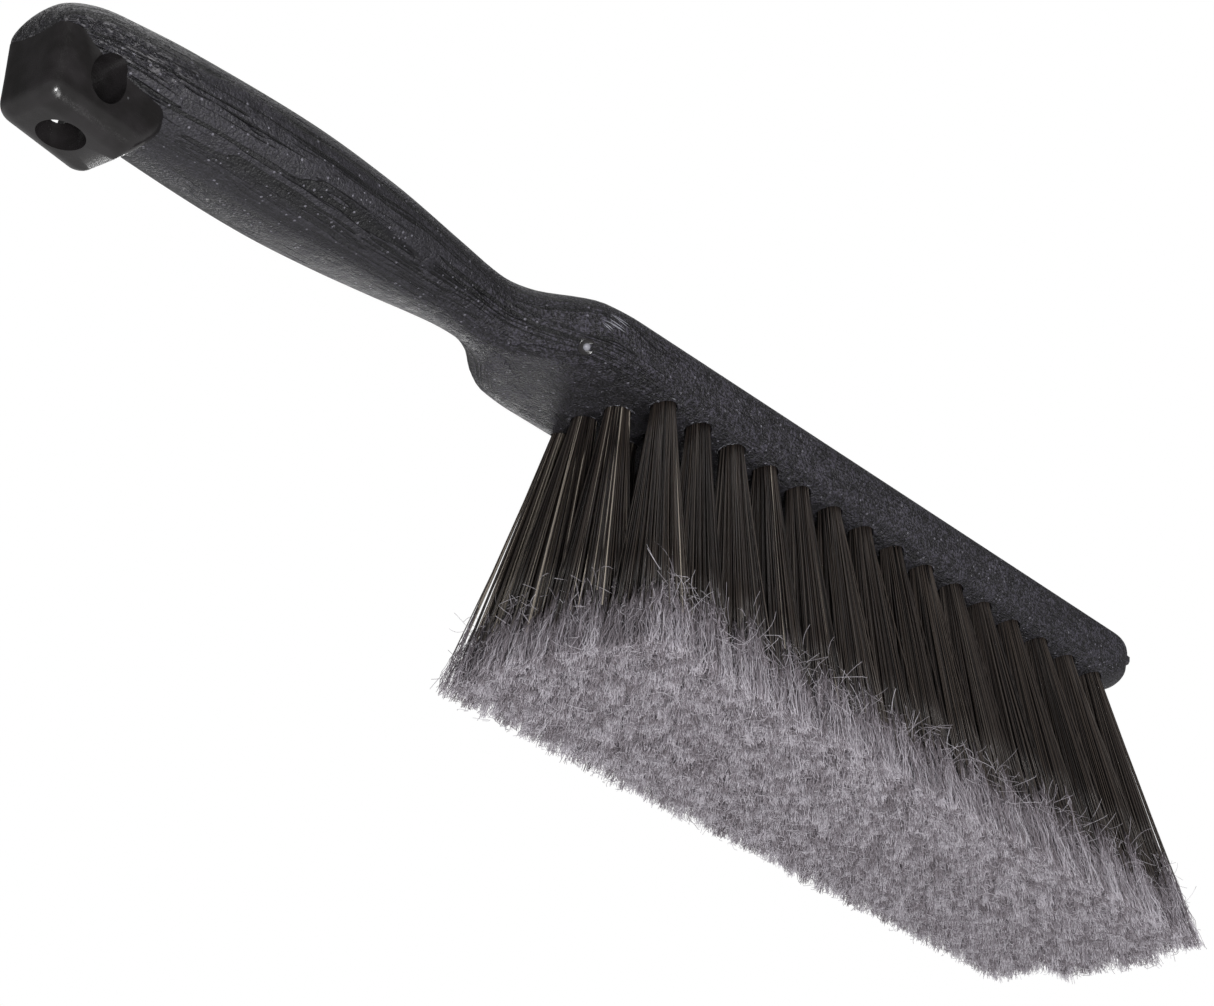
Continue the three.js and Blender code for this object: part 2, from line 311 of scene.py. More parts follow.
def grain_lines(tree, flow, along):
    """The moulded grain along the body: 0 in a line's bottom and 1 between lines, and how strong it is."""
    round_axes = add_node(tree, "ShaderNodeSeparateXYZ", {0: flow}).outputs
    wander = noise(tree, stretch(tree, flow, (0.02, 0.12, 0.12)), scale=1.0, detail=2.0)
    sway = add_node(tree, "ShaderNodeCombineXYZ", {1: times(tree, wander, 9.0)}).outputs[0]
    wavy = add_node(tree, "ShaderNodeVectorMath", {0: flow, 1: sway}, operation="ADD").outputs[0]
    fine = noise(tree, stretch(tree, wavy, (0.012, 1.0, 1.0)), scale=1.0, detail=1.0)
    coarse = noise(tree, stretch(tree, wavy, (0.02, 0.2, 0.2)), scale=1.0, detail=2.0)
    lines = remap(tree, fine, 0.42, 0.47)
    patches = mask(tree, coarse, 0.30, 0.45)
    on_handle = remap(tree, mask(tree, along, FIRST_TUFT + 4, FIRST_TUFT - 26), 0.0, 1.0, 0.12, 1.0)
    on_side = remap(tree, mask(tree, round_axes[1], 14.8, 11.0), 0.0, 1.0, 0.35, 1.0)
    return lines, times(tree, times(tree, on_handle, on_side), patches)


def specks(tree, millimetres, scale, common, radius):
    """Round dots of up to this radius in millimetres, in a share of the cells that common gives."""
    inputs = {"Vector": millimetres, "Scale": scale, "Randomness": 1.0}
    cells = add_node(tree, "ShaderNodeTexVoronoi", inputs)
    chance = add_node(tree, "ShaderNodeSeparateXYZ", {0: cells.outputs["Color"]}).outputs[0]
    size = remap(tree, chance, 1.0 - common, 1.0, 0.0, radius * scale)
    return maths(tree, "LESS_THAN", cells.outputs["Distance"], size)


def body_zones(tree, millimetres):
    """How much of each place is the handle's crusted end, and how much painted shade it takes among the
    tufts.
    """
    x, _, z = add_node(tree, "ShaderNodeSeparateXYZ", {0: millimetres}).outputs
    near_end = mask(tree, x, HANDLE_END + 34, HANDLE_END + 20)
    past_neck = mask(tree, x, FIRST_TUFT - 24, FIRST_TUFT - 12)
    at_end = times(tree, near_end, mask(tree, z, UNDERSIDE + 2, UNDERSIDE + 6))
    shade_among_tufts = times(tree, past_neck, mask(tree, z, UNDERSIDE + 3.5, UNDERSIDE))
    return at_end, shade_among_tufts


def skin_colour(tree, pebbles, pores, on_block):
    """The clean skin's mottled tone, which varies more on the block than on the handle."""
    mottle = maths(tree, "MULTIPLY_ADD", pores, 0.75, times(tree, pebbles, 0.35))
    dark, light = (blend_colours(tree, on_block, *tones) for tones in zip(HANDLE_TONES, BLOCK_TONES))
    return blend_colours(tree, mask(tree, mottle, 0.50, 0.68), dark, light)


def body_plastic():
    """Near-black plastic: grain lines along the handle, a pebbled skin, pale specks, a crusted end and
    painted shade among the tufts.
    """
    material, tree, shader = new_material("body_plastic")
    flow, along = flow_coordinates(tree)
    millimetres = own_place_mm(tree)
    at_end, shade_among_tufts = body_zones(tree, millimetres)
    on_block = mask(tree, along, FIRST_TUFT - 75, FIRST_TUFT - 20)
    lines, line_share = grain_lines(tree, flow, along)
    grain = times(tree, maths(tree, "SUBTRACT", lines, 1.0), line_share)
    pebbles = noise(tree, millimetres, scale=0.42, roughness=0.62)
    pores = noise(tree, millimetres, scale=1.7, detail=2.0, roughness=0.6)
    crust_flow = stretch(tree, millimetres, (0.3, 0.75, 0.75))
    crust = noise(tree, crust_flow, scale=1.0, roughness=0.65, distortion=1.2)

    clean = skin_colour(tree, pebbles, pores, on_block)
    crusty = blend_colours(tree, times(tree, at_end, mask(tree, crust, 0.50, 0.62)), clean, CRUST_COLOUR)
    grained = blend_colours(tree, times(tree, grain, -0.92), crusty, GRAIN_COLOUR)
    # painted shade: the skin darkens towards the underside among the tufts
    tuft_shaded = blend_colours(tree, times(tree, shade_among_tufts, 0.45), grained, TUFT_SHADE_COLOUR)
    small = specks(tree, millimetres, scale=0.8, common=0.55, radius=0.30)
    large = specks(tree, millimetres, scale=0.3, common=0.35, radius=0.36)
    speckled = times(tree, maths(tree, "MAXIMUM", small, large), 0.5)
    tree.links.new(blend_colours(tree, speckled, tuft_shaded, SPECK_COLOUR), shader.inputs["Base Color"])

    skin_gloss = maths(tree, "MULTIPLY_ADD", pores, 0.25, remap(tree, pebbles, 0.3, 0.7, 0.28, 0.46))
    tree.links.new(maths(tree, "MULTIPLY_ADD", at_end, -0.2, skin_gloss), shader.inputs["Roughness"])

    skin = maths(tree, "MULTIPLY_ADD", pores, 0.9, pebbles)
    skin_height = times(tree, skin, remap(tree, on_block, 0.0, 1.0, 0.55, 1.0))
    skin_normal = bump(tree, skin_height, 1.0, SKIN_DEPTH)
    crust_normal = bump(tree, times(tree, crust, at_end), 1.0, CRUST_DEPTH, skin_normal)
    tree.links.new(bump(tree, grain, 1.0, GRAIN_DEPTH, crust_normal), shader.inputs["Normal"])
    return material


def lug_plastic():
    """The same plastic with the smoother skin that the lug's part of the mould gives."""
    material, tree, shader = new_material("lug_plastic")
    millimetres = own_place_mm(tree)
    ripple = noise(tree, millimetres, scale=0.16, detail=2.0)
    pores = noise(tree, millimetres, scale=1.6, roughness=0.6)
    scuffs = noise(tree, stretch(tree, millimetres, (0.5, 3.0, 0.8)), scale=1.0, detail=4.0, roughness=0.65)
    tint = blend_colours(tree, mask(tree, ripple, 0.3, 0.7), *LUG_TONES)
    speckled = times(tree, specks(tree, millimetres, scale=0.4, common=0.4, radius=0.32), 0.45)
    tree.links.new(blend_colours(tree, speckled, tint, LUG_SPECK_COLOUR), shader.inputs["Base Color"])
    tree.links.new(remap(tree, scuffs, 0.3, 0.75, 0.14, 0.32), shader.inputs["Roughness"])
    height = maths(tree, "MULTIPLY_ADD", pores, 0.3, maths(tree, "MULTIPLY_ADD", scuffs, 0.06, ripple))
    tree.links.new(bump(tree, height, 0.35, LUG_SKIN_DEPTH), shader.inputs["Normal"])
    return material


def burr_and_highlight_plastic():
    """Pale stretched plastic where a drill or a scratch has raised it, and the pale paint of the painted
    highlight on the mould mark.
    """
    material, tree, shader = new_material("burr_and_highlight_plastic")
    rough = noise(tree, own_place(tree), scale=2500.0, detail=2.0)
    shader.inputs["Base Color"].default_value = BURR_AND_HIGHLIGHT_COLOUR
    tree.links.new(remap(tree, rough, 0.3, 0.7, 0.2, 0.5), shader.inputs["Roughness"])
    tree.links.new(bump(tree, rough, 0.4, BURR_DEPTH), shader.inputs["Normal"])
    return material


def strand(name, colour, roughness):
    """One tint of the drawn filament, with fine streaks along it."""
    material, tree, shader = new_material(name)
    streaks = noise(tree, stretch(tree, own_place(tree), (6000, 6000, 250)), scale=1.0, detail=2.0)
    gloss = remap(tree, streaks, 0.3, 0.7, roughness - 0.08, roughness + 0.08)
    shader.inputs["Base Color"].default_value = (*colour, 1)
    tree.links.new(gloss, shader.inputs["Roughness"])
    tree.links.new(bump(tree, streaks, 0.3, STREAK_DEPTH), shader.inputs["Normal"])
    return material


BODY = body_plastic()
SMOOTH = lug_plastic()
BURR_AND_HIGHLIGHT = burr_and_highlight_plastic()
SHAFTS = [
    strand("filament_black", (0.018, 0.015, 0.014), 0.40),
    strand("filament_dark", (0.033, 0.026, 0.023), 0.38),
    strand("filament_brown", (0.047, 0.037, 0.031), 0.38),
    strand("filament_grey", (0.066, 0.055, 0.048), 0.40),
    strand("filament_beige", (0.36, 0.315, 0.265), 0.42),
]
FRAYS = [
    strand("fibril_dark", (0.15, 0.13, 0.142), 0.6),
    strand("fibril_mid", (0.25, 0.222, 0.245), 0.65),
    strand("fibril_mauve", (0.36, 0.33, 0.365), 0.7),
    strand("fibril_pale", (0.56, 0.53, 0.575), 0.5),
]
STRANDS = [*SHAFTS, *FRAYS]


# ---- Meshes ----


def mesh_object(name, points, quads, triangles=(), materials=(), slots=None):
    """A smooth mesh object from millimetre points and arrays of quads and triangles."""
    quads = np.asarray(quads, np.int32).reshape(-1, 4)
    triangles = np.asarray(triangles, np.int32).reshape(-1, 3)
    mesh = bpy.data.meshes.new(name)
    points = np.asarray(points, np.float64).reshape(-1, 3)
    mesh.vertices.add(len(points))
    mesh.vertices.foreach_set("co", (points * MM).astype(np.float32).ravel())
    mesh.loops.add(quads.size + triangles.size)
    mesh.loops.foreach_set("vertex_index", np.concatenate([quads.ravel(), triangles.ravel()]))
    mesh.polygons.add(len(quads) + len(triangles))
    totals = np.repeat([4, 3], [len(quads), len(triangles)])
    starts = np.concatenate([[0], np.cumsum(totals)[:-1]])
    mesh.polygons.foreach_set("loop_start", starts.astype(np.int32))
    for material in materials:
        mesh.materials.append(material)
    if slots is not None:
        mesh.polygons.foreach_set("material_index", np.asarray(slots, np.int32))
    mesh.polygons.foreach_set("use_smooth", np.full(len(totals), True))
    mesh.update(calc_edges=True)
    mesh.validate()
    piece = bpy.data.objects.new(name, mesh)
    bpy.context.collection.objects.link(piece)
    return piece


def lofted(rings):
    """Points and faces of a closed solid through rings of as many points each."""
    rings = np.asarray(rings, float)
    levels, count = rings.shape[:2]
    points = np.vstack([rings.reshape(-1, 3), rings[0].mean(0), rings[-1].mean(0)])
    base = np.arange(levels - 1)[:, None] * count
    i = np.arange(count)[None, :]
    j = (i + 1) % count
    quads = np.stack([base + i, base + j, base + count + j, base + count + i], -1).reshape(-1, 4)
    i, j = i[0], j[0]
    start, last = levels * count, (levels - 1) * count
    low = np.stack([np.full(count, start), j, i], -1)
    high = np.stack([np.full(count, start + 1), last + i, last + j], -1)
    return points, quads, np.vstack([low, high])


def smooth_through(points):
    """A smooth function through (x, value) points that never swings past them."""
    slopes = [0.0] * len(points)
    for i in range(1, len(points) - 1):
        before = (points[i][1] - points[i - 1][1]) / (points[i][0] - points[i - 1][0])
        after = (points[i + 1][1] - points[i][1]) / (points[i + 1][0] - points[i][0])
        if before * after > 0:
            slopes[i] = 2 * before * after / (before + after)

    def value(x):
        i = 0
        while i < len(points) - 2 and x > points[i + 1][0]:
            i += 1
        span = points[i + 1][0] - points[i][0]
        t = min(max((x - points[i][0]) / span, 0.0), 1.0)
        rise = points[i + 1][1] - points[i][1]
        return (
            points[i][1]
            + t * t * (3 - 2 * t) * rise
            + span * t * (1 - t) * ((1 - t) * slopes[i] - t * slopes[i + 1])
        )

    return value


def round_off(distance, radius):
    """How far a quarter circle has fallen away at this distance from its end."""
    t = min(max(distance / radius, 0.0), 1.0)
    return radius * (1 - math.sqrt(1 - (1 - t) ** 2))


def smooth_step(x, low, high):
    t = min(max((x - low) / (high - low), 0.0), 1.0)
    return t * t * (3 - 2 * t)


# ---- Block and handle ----

half_width_at = smooth_through(HALF_WIDTHS)
crown_at = smooth_through(CROWN)
keel_at = smooth_through(KEEL)
CORNER_STEPS = 14
END_STEPS = 14
STATION_STEP = 2.0
LUG_ROUND_STEPS = 10
LUG_HEEL_STEPS = 9
LUG_HEEL_FROM = 5.0


def section(x):
    """The body's section at x: half-width, top, bottom and how square it is."""
    along = x - FIRST_TUFT
    blockness = smooth_step(along, *NECK_TO_BLOCK)
    to_far = BLOCK_END - x
    end_share = round_off(x - HANDLE_END, HANDLE_ROUND["length"]) / HANDLE_ROUND["length"]
    far_share = round_off(to_far, FAR_LIFT[0]) / FAR_LIFT[0]
    narrowing = 1 - HANDLE_ROUND["narrowing"] * end_share
    width = (half_width_at(along) - round_off(to_far, FAR_CORNER)) * narrowing
    top = UNDERSIDE + crown_at(along) - round_off(to_far, TOP_FILLET) - HANDLE_ROUND["drop"] * end_share
    bottom = UNDERSIDE + keel_at(along) + FAR_LIFT[1] * far_share + HANDLE_ROUND["lift"] * end_share
    return width, top, bottom, blockness


def body_ring(x):
    """The body's outline at x: four corners, from ovals on the handle to tight rounds on the block."""
    width, top, bottom, blockness = section(x)
    inset = END_RIM["inset"] * round_off(x - HANDLE_END, END_RIM["length"]) / END_RIM["length"]
    width, top, bottom = width - inset, top - inset, bottom + inset
    half = (top - bottom) / 2
    upper = (TOP_FILLET, min(TOP_FILLET, half * LARGEST_ROUND))
    lower = (min(LOWER_ROUND[0], width * LARGEST_ROUND), min(LOWER_ROUND[1], half * LARGEST_ROUND))
    ring = []
    for quarter, (side, rise, rounding) in enumerate(
        [(1, -1, lower), (1, 1, upper), (-1, 1, upper), (-1, -1, lower)]
    ):
        ry = width * GRIP_ROUND + (rounding[0] - width * GRIP_ROUND) * blockness
        rz = half * GRIP_ROUND + (rounding[1] - half * GRIP_ROUND) * blockness
        for i in range(CORNER_STEPS + 1):
            angle = math.pi / 2 * (quarter - 1 + i / CORNER_STEPS)
            y = side * (width - ry) + ry * math.cos(angle)
            z = (top + bottom) / 2 + rise * (half - rz) + rz * math.sin(angle)
            ring.append((x, y * (1 - SIDE_DRAFT * blockness * (top - z) / (top - bottom)), z))
    return ring


def body_stations():
    """Where along X the body's rings are, closer together where its ends round off."""
    turn = [1 - math.cos(math.pi / 2 * i / END_STEPS) for i in range(END_STEPS + 1)]
    rim = [HANDLE_END + END_RIM["length"] * t for t in turn[:-1]]
    rounding = [HANDLE_ROUND["length"] * t for t in turn]
    near = [*rim, *(HANDLE_END + reach for reach in rounding if reach > END_RIM["length"])]
    middle = np.arange(near[-1] + STATION_STEP, BLOCK_END - FAR_CORNER - STATION_STEP / 2, STATION_STEP)
    far = [BLOCK_END - FAR_CORNER * t for t in reversed(turn)]
    return [*near, *middle, *far]


FLOW_RADIUS = 15.0


def set_flow(piece, along, turns):
    """Two UV maps that hold the flow coordinates: along the body, and round it on a circle."""
    mesh = piece.data
    corner = np.empty(len(mesh.loops), np.int32)
    mesh.loops.foreach_get("vertex_index", corner)
    angle = 2 * math.pi * np.asarray(turns)[corner]
    x = np.asarray(along)[corner]
    first = np.stack([x, FLOW_RADIUS * np.cos(angle)], -1)
    second = np.stack([FLOW_RADIUS * np.sin(angle), np.zeros(len(x))], -1)
    for name, values in (("flow_along", first), ("flow_round", second)):
        mesh.uv_layers.new(name=name).data.foreach_set("uv", values.astype(np.float32).ravel())


def make_shell():
    """The block and handle's outside."""
    rings = [body_ring(x) for x in body_stations()]
    points, quads, triangles = lofted(rings)
    shell = mesh_object("shell", points, quads, triangles, [BODY, SMOOTH])
    count = len(rings[0])
    turns = np.concatenate([np.tile((np.arange(count) + 0.5) / count, len(rings)), [0.0, 0.0]])
    set_flow(shell, points[:, 0], turns)
    return shell


def make_flash():
    """The nub of flash on the block's far near-side corner."""
    turn = math.radians(FLASH["turn"])
    out = np.array([math.cos(turn), math.sin(turn), 0.0])
    across = np.array([-out[1], out[0], 0.0])
    centre = np.array([BLOCK_END - FAR_CORNER, FAR_CORNER - BLOCK_HALF_WIDTH, UNDERSIDE + FLASH["rise"]])
    rings = []
    sides = ((1, -1), (1, 1), (-1, 1), (-1, -1))
    for reach, share in ((-FLASH["sunk"], FLASH["flare"]), (FLASH["proud"], 1.0)):
        middle = centre + out * (FAR_CORNER + reach)
        y, z = FLASH["half_width"] * share, FLASH["half_height"] * share
        rings.append([middle + across * a * y + np.array([0, 0, b * z]) for a, b in sides])
    return cutter("flash", [lofted(rings)], 0)


def lug_ring(height):
    """A level ring of the lug, at a height above its bottom."""
    length, corner = LUG["length"], LUG["corner"]
    deep = LUG_RISE + LUG_DROP[0]
    drawn = round_off(height, LUG_ROUND["height"]) / LUG_ROUND["height"]
    heel = LUG_HEEL["length"] * max(1 - height / LUG_HEEL["height"], 0) ** LUG_HEEL["curve"]
    low, high = LUG_ROUND["end"] * drawn, length - heel
    corners = [(corner, -1, 180), (length - corner, -1, 270), (length - corner, 1, 0), (corner, 1, 90)]
    ring = []
    for centre_x, side, start in corners:
        for i in range(CORNER_STEPS):
            angle = math.radians(start + 90 * i / (CORNER_STEPS - 1))
            x = centre_x + corner * math.cos(angle)
            half = LUG["end_half"] + (LUG["inner_half"] - LUG["end_half"]) * x / length
            half *= 1 + LUG_FLARE * height / deep
            y = side * (half - corner) + corner * math.sin(angle)
            in_x = low + (high - low) * x / length
            in_y = y * (1 - LUG_ROUND["across"] * drawn / half)
            drop = LUG_DROP[0] + (LUG_DROP[1] - LUG_DROP[0]) * in_x / length
            ring.append((HANDLE_END + in_x, in_y, UNDERSIDE - drop + height))
    return ring


def make_lug():
    """The smooth hanging lug under the handle's end."""
    turns = np.linspace(0, math.pi / 2, LUG_ROUND_STEPS + 1)
    rounding = LUG_ROUND["height"] * (1 - np.cos(turns))
    heel = np.linspace(LUG_HEEL_FROM, LUG_HEEL["height"], LUG_HEEL_STEPS)
    heights = [*rounding, *heel, LUG_RISE + LUG_DROP[0]]
    points, quads, triangles = lofted([lug_ring(height) for height in heights])
    slots = np.ones(len(quads) + len(triangles), int)
    lug = mesh_object("lug", points, quads, triangles, [BODY, SMOOTH], slots)
    set_flow(lug, points[:, 0], np.zeros(len(points)))
    return lug


MARK_SIDES = 40
RAY_START = 20.0  # how far out of the skin a ray towards the mark starts


def turned_on_mark(skin, profile):
    """A solid turned about the mould mark's axis, through (share of its radius, height) points."""
    facing = Vector(MOULD_MARK["facing"]).normalized()
    middle = on_skin(skin, np.array(MOULD_MARK["place"]) + RAY_START * np.array(facing), -facing)
    across = facing.orthogonal().normalized()
    up = facing.cross(across)
    angle = 2 * math.pi * np.arange(MARK_SIDES) / MARK_SIDES
    rim = MOULD_MARK["radius"] * (np.outer(np.cos(angle), across) + np.outer(np.sin(angle), up))
    return lofted([middle + share * rim + height * np.array(facing) for share, height in profile])


def make_mould_mark(skin):
    """The low ring of the round mark at the neck."""
    return cutter("mould_mark", [turned_on_mark(skin, MARK_RING)], 1)


def skin_of(body):
    return BVHTree.FromObject(body, bpy.context.evaluated_depsgraph_get())


def on_skin(skin, start, way):
    """Where a ray from start meets the body, in millimetres."""
    return np.array(skin.ray_cast(Vector(start) * MM, Vector(way))[0]) / MM


BORE_SIDES = 48


def tube_between(a, b, radius_x, radius_y, across, up, sides=BORE_SIDES):
    """A round bar from a to b, with its two radii along the directions across and up."""
    angle = 2 * math.pi * np.arange(sides) / sides
    rim = np.outer(np.cos(angle) * radius_x, across) + np.outer(np.sin(angle) * radius_y, up)
    return lofted([np.array(a) + rim, np.array(b) + rim])


def cutter(name, solids, slot):
    """One mesh object of several solids, to add to the body or cut from it."""
    points, quads, triangles, offset = [], [], [], 0
    for p, q, t in solids:
        points.append(p)
        quads.append(q + offset)
        triangles.append(t + offset)
        offset += len(p)
    points, quads, triangles = np.vstack(points), np.vstack(quads), np.vstack(triangles)
    slots = np.full(len(quads) + len(triangles), slot)
    piece = mesh_object(name, points, quads, triangles, [BODY, SMOOTH], slots)
    set_flow(piece, points[:, 0], np.zeros(len(points)))
    return piece


def combine(target, tool, operation):
    """Adds the tool to the target's mesh or cuts it away, and removes the tool."""
    modifier = target.modifiers.new("combine", "BOOLEAN")
    modifier.operation = operation
    modifier.solver = "MANIFOLD"
    modifier.object = tool
    graph = bpy.context.evaluated_depsgraph_get()
    result = bpy.data.meshes.new_from_object(target.evaluated_get(graph), depsgraph=graph)
    target.modifiers.clear()
    target.data = result
    bpy.data.objects.remove(tool)


def tuft_places():
    """Each tuft's name, root and tip centres, tip half-sizes, outward side, and if it ends its row."""
    places = []
    rows = [
        ("tuft_near", -1.5, OUTER_TUFTS, 0.0, (0.0, 0.0)),
        ("tuft_inner_near", -0.5, INNER_TUFTS, INNER_LEAD, TIPS_BOW),
        ("tuft_inner_far", 0.5, INNER_TUFTS, INNER_LEAD, TIPS_BOW),
        ("tuft_far", 1.5, OUTER_TUFTS, 0.0, (0.0, 0.0)),
    ]
    tip_depth = 2 * TIPS_HALF_WIDTH / len(rows)
    for name, place, count, lead, bow in rows:
        pitch = (ROWS_LENGTH + 2 * lead) / (count - 1)
        start = FIRST_TUFT - TIPS_NEAR - bow[0]
        tip_pitch = (LAST_TUFT + TIPS_FAR + bow[1] - start) / count
        for i in range(count):
            places.append({
                "node": f"{name}_{i + 1:02d}",
                "root": np.array([FIRST_TUFT - lead + pitch * i, place * ROW_SPACING, UNDERSIDE]),
                "tip": np.array([start + tip_pitch * (i + 0.5), place * tip_depth, 0.0]),
                "half": np.array([tip_pitch / 2, tip_depth / 2]),
                "outward": 0 if abs(place) < 1 else math.copysign(1, place),
                "first": i == 0 and place > -1,
                "last": i == count - 1,
            })
    return places


def on_axis(place, z):
    """Where the tuft's axis is at a height."""
    return place["tip"] + (place["root"] - place["tip"]) * (z / UNDERSIDE)


BORE_REACH = 30.0  # how far each way the crosswise hole's cutter runs
UPRIGHT_REACH = 25.0  # how far down the upright hole's cutter runs
HOLE_MOUTH = 3.0  # how far below the underside a tuft hole's cutter starts
HOLE_SIDES = 32
SHARP_ANGLE = 38  # degrees


def make_body(places):
    """The block and handle: the shell with its lug, flash and mark, cut by the hanging and tuft holes."""
    body = make_shell()
    combine(body, make_lug(), "UNION")
    combine(body, make_flash(), "UNION")
    combine(body, make_mould_mark(skin_of(body)), "UNION")
    x, z = HANDLE_END + LATERAL_HOLE["x"], UNDERSIDE + LATERAL_HOLE["z"]
    radii = LATERAL_HOLE["half_length"], LATERAL_HOLE["half_height"]
    across = tube_between((x, BORE_REACH, z), (x, -BORE_REACH, z), *radii, (1, 0, 0), (0, 0, 1))
    combine(body, cutter("crosswise", [across], 1), "DIFFERENCE")
    x, r = HANDLE_END + VERTICAL_HOLE["x"], VERTICAL_HOLE["radius"]
    upright = tube_between((x, 0, z - UPRIGHT_REACH), (x, 0, z), r, r, (1, 0, 0), (0, 1, 0))
    combine(body, cutter("upright", [upright], 1), "DIFFERENCE")
    r = TUFT_RADIUS + GAP
    holes = []
    for place in places:
        low, high = on_axis(place, UNDERSIDE - HOLE_MOUTH), on_axis(place, UNDERSIDE + HOLE_DEPTH)
        holes.append(tube_between(low, high, r, r, (1, 0, 0), (0, 1, 0), HOLE_SIDES))
    combine(body, cutter("holes", holes, 0), "DIFFERENCE")
    body.name = body.data.name = "block_and_handle"
    body.data.shade_smooth()
    body.data.set_sharp_from_angle(angle=math.radians(SHARP_ANGLE))
    return body


def burr_paths(skin, places):
    """Short arcs along the rims of the tuft holes, each a little off the skin."""
    paths = []
    for place in places:
        count = RAGGED_BURRS if place["root"][0] < FIRST_TUFT + RAGGED_HOLES else BURRS
        for _ in range(count):
            start, sweep = rng.uniform(0, 2 * math.pi), rng.uniform(0.1, 0.45)
            radius = TUFT_RADIUS + GAP + rng.uniform(0.05, 0.7)
            lift = rng.uniform(0.0, 0.25)
            path = []
            for t in np.linspace(0, 1, len(SLIVER_RADII)):
                angle = start + sweep * t
                x = place["root"][0] + radius * math.cos(angle)
                y = place["root"][1] + radius * math.sin(angle)
                below = [0, 0, lift * math.sin(math.pi * t)]
                path.append(on_skin(skin, (x, y, UNDERSIDE / 2), (0, 0, 1)) - below)
            paths.append(path)
    return paths


def scratch_paths(skin):
    """The fan of short scratches on the neck's near side."""
    paths = []
    for i in range(SCRATCHES["count"]):
        from_middle = i - SCRATCHES["count"] // 2
        middle = SCRATCHES["middle"] + np.array(SCRATCHES["step"]) * from_middle + rng.normal(0, 0.4, 2)
        run = np.array(SCRATCHES["run"]) * rng.uniform(0.4, 1.1) + rng.normal(0, 0.3, 2)
        places = [middle + run * t for t in np.linspace(-0.5, 0.5, len(SLIVER_RADII))]
        paths.append([on_skin(skin, (x, -2 * BLOCK_HALF_WIDTH, z), (0, 1, 0)) for x, z in places])
    return paths


def make_burrs_and_highlight(body, places):
    """The raised slivers at the tuft holes, the neck's scratches and the mould mark's pale dome, which is a
    painted highlight.
    """
    skin = skin_of(body)
    burrs, scratches = burr_paths(skin, places), scratch_paths(skin)
    thick = np.repeat([1.0, SCRATCH_THICKNESS], [len(burrs), len(scratches)])[:, None]
    taper = np.array(SLIVER_RADII) * thick
    points, quads, ends = tubes(np.array([*burrs, *scratches]), taper * rng.uniform(0.5, 1.1, thick.shape))
    # painted highlight: a pale dome on the mould mark
    dome = turned_on_mark(skin, MARK_HIGHLIGHT_DOME)
    quads, ends = np.vstack([quads, dome[1] + len(points)]), np.vstack([ends, dome[2] + len(points)])
    return mesh_object("burrs", np.vstack([points, dome[0]]), quads, ends, [BURR_AND_HIGHLIGHT])


# ---- Filaments ----


TINY = 1e-12


def tubes(paths, radii):
    """Points, quads and end triangles of thin round strands along paths of shape (n, k, 3)."""
    n, k = paths.shape[:2]
    sides = STRAND_SIDES
    way = np.gradient(paths, axis=1)
    way /= np.linalg.norm(way, axis=2, keepdims=True) + TINY
    u = np.cross(way, [0.0, 1.0, 0.02])
    u /= np.linalg.norm(u, axis=2, keepdims=True) + TINY
    v = np.cross(way, u)
    angle = 2 * math.pi * np.arange(sides) / sides + rng.uniform(0, 2, (n, 1, 1))
    r = np.broadcast_to(radii, (n, k))[:, :, None]
    ring = (np.cos(angle) * r)[..., None] * u[:, :, None] + (np.sin(angle) * r)[..., None] * v[:, :, None]
    points = (paths[:, :, None] + ring).reshape(-1, 3)
    start = (np.arange(n) * k * sides)[:, None, None] + (np.arange(k - 1) * sides)[None, :, None]
    i = np.arange(sides)[None, None, :]
    j = (i + 1) % sides
    quads = np.stack([start + i, start + j, start + sides + j, start + sides + i], -1)
    ends = (np.arange(n) * k * sides)[:, None]
    low = ends + np.arange(sides)[::-1]
    high = ends + (k - 1) * sides + np.arange(sides)
    return points, quads.reshape(-1, 4), np.vstack([low, high])


def shaft_paths(place):
    """Straight filaments that fan from the hole to the tuft's share of the tips, to where each frays."""
    uv = rng.uniform(-1, 1, (FILAMENTS, 2))
    disc = uv * np.sqrt(1 - uv[:, ::-1] ** 2 / 2)
    reach = uv * TIP_SPREAD[0] + rng.normal(0, TIP_SPREAD[1], uv.shape)
    loose = rng.random(FILAMENTS) < LOOSE["share"]
    reach[loose] += rng.normal(0, LOOSE["spread"], (loose.sum(), 2))
    reach = np.clip(reach, -LOOSE["reach"], LOOSE["reach"])
    if place["last"]:
        reach[:STRAYS, 0] = rng.uniform(*STRAY_REACH, STRAYS)
    lock = rng.normal(0, LOCK_SPREAD, LOCKS)[rng.integers(0, LOCKS, FILAMENTS)]
    frays = rng.uniform(*FLAGGED, FILAMENTS) + lock + PEAK * (0.5 - np.abs(uv[:, 0]))
    heights = UNDERSIDE + np.array(SHAFT_HEIGHTS)
    levels = np.concatenate([np.broadcast_to(heights, (FILAMENTS, len(heights))), frays[:, None]], 1)
    share = (1 - levels / UNDERSIDE)[..., None]
    spread = np.clip(share, 0, 1) * (FAN + (1 - FAN) * np.clip(share, 0, 1))
    axis = place["tip"][:2] * share + place["root"][:2] * (1 - share)
    tip_offset = reach * place["half"]
    radius = TUFT_RADIUS - FILAMENT_RADIUS
    sideways = disc[:, None] * radius * (1 - spread) + tip_offset[:, None] * spread
    sway = rng.normal(0, SWAY, (FILAMENTS, 1, 2)) * np.sin(math.pi * spread)
    return np.concatenate([axis + sideways + sway, levels[..., None]], 2)


def kept_in(path):
    """The path with no point below the trimmed tips or far outside the brush's sides."""
    path[..., 1] = np.clip(path[..., 1], -TIPS_REACH, TIPS_REACH)
    path[..., 2] = np.maximum(path[..., 2], FIBRIL_RADIUS)
    return path


